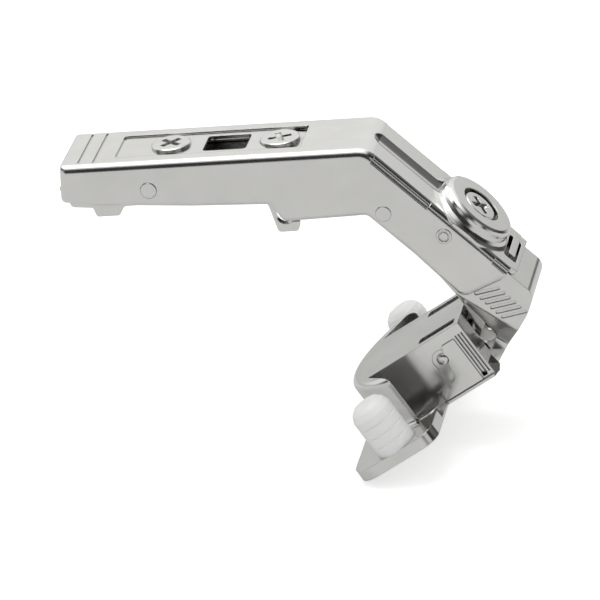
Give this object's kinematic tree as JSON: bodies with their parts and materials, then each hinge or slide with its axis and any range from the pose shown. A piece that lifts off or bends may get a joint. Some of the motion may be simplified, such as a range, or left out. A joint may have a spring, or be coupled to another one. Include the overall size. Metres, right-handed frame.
{
  "type": "cabinet hinge",
  "caption": "Folding corner cabinet hinge with a bent steel arm, a drilled-in cup on two levers, nylon dowels and adjusting screws, for two doors that fold together.",
  "frame": {"origin": "centre of the channel's underside, where it rests on the mounting plate", "axes": "+X along the straight arm towards the cup, +Y across the arm away from the viewer, +Z out of the mounting plate through the arm's top"},
  "size_m": [0.0903, 0.0534, 0.0636],
  "materials": {
    "nickel": "satin nickel plate",
    "inner_steel": "plain plated steel",
    "spring_steel": "oiled spring steel",
    "nylon": "white translucent nylon"
  },
  "bodies": {
    "base": {"base_channel": "nickel", "clip_pin": "inner_steel"},
    "clip": {"clip_lever": "inner_steel", "clip_spring": "spring_steel"},
    "slider": {"carriage_rivet": "nickel", "side_nut": "inner_steel"},
    "arm_body": {"arm": "nickel", "inner_rivet": "nickel", "outer_rivet": "nickel", "closing_spring_near": "spring_steel", "closing_spring_far": "spring_steel"},
    "depth_adjuster": {"depth_screw": "nickel", "depth_cam": "inner_steel"},
    "side_adjuster": {"side_screw": "nickel"},
    "boss_adjuster": {"boss_screw": "nickel", "boss_cam": "inner_steel"},
    "inner_link": {"inner_lever": "nickel"},
    "outer_link": {"outer_lever": "nickel"},
    "cup_body": {"cup": "nickel", "pin_plate_near": "nickel", "pin_plate_far": "nickel", "inner_cup_pin": "nickel", "outer_cup_pin": "inner_steel", "dowel_near": "nylon", "dowel_far": "nylon", "dowel_pin_near": "inner_steel", "dowel_pin_far": "inner_steel"}
  },
  "joints": [
    {"name": "clip_release", "type": "hinge", "parent": "base", "child": "clip", "pos_m": [-0.016, 0, -0.0026], "axis": [0, 1, 0], "range_deg": [0, 15]},
    {"name": "depth_slide", "type": "slide", "parent": "base", "child": "slider", "axis": [1, 0, 0], "range_m": [-0.0015, 0.0015]},
    {"name": "overlay_tilt", "type": "hinge", "parent": "slider", "child": "arm_body", "pos_m": [-0.0069, 0, -0.0009], "axis": [0, 1, 0], "range_deg": [-1.2, 1.2]},
    {"name": "depth_turn", "type": "hinge", "parent": "arm_body", "child": "depth_adjuster", "pos_m": [-0.0033, 0, 0.0049], "axis": [0, 0, 1], "range_deg": [-90, 90]},
    {"name": "side_turn", "type": "hinge", "parent": "arm_body", "child": "side_adjuster", "pos_m": [0.0183, 0, 0.0049], "axis": [0, 0, 1], "range_deg": [-360, 360]},
    {"name": "boss_turn", "type": "hinge", "parent": "arm_body", "child": "boss_adjuster", "pos_m": [0.05505, 0, -0.01224], "axis": [0.7266, 0, 0.6871], "range_deg": [-90, 90]},
    {"name": "cup_fold", "type": "hinge", "parent": "inner_link", "child": "cup_body", "pos_m": [0.04626, 0, -0.03981], "axis": [0, -1, 0], "range_deg": [0, 71.25]},
    {"name": "inner_swing", "type": "hinge", "parent": "arm_body", "child": "inner_link", "pos_m": [0.0384, 0, -0.0085], "axis": [0, 1, 0], "range_deg": [0, 11.3]},
    {"name": "outer_swing", "type": "hinge", "parent": "arm_body", "child": "outer_link", "pos_m": [0.0496, 0, -0.01385], "axis": [0, 1, 0], "range_deg": [0, 22.5]}
  ],
  "couplings": [
    {"joint": "inner_swing", "follows": "cup_fold", "ratio": 0.1579},
    {"joint": "outer_swing", "follows": "cup_fold", "ratio": 0.31509},
    {"joint": "depth_turn", "follows": "depth_slide", "rad_per_m": 1000},
    {"joint": "side_turn", "follows": "overlay_tilt", "ratio": 290}
  ]
}
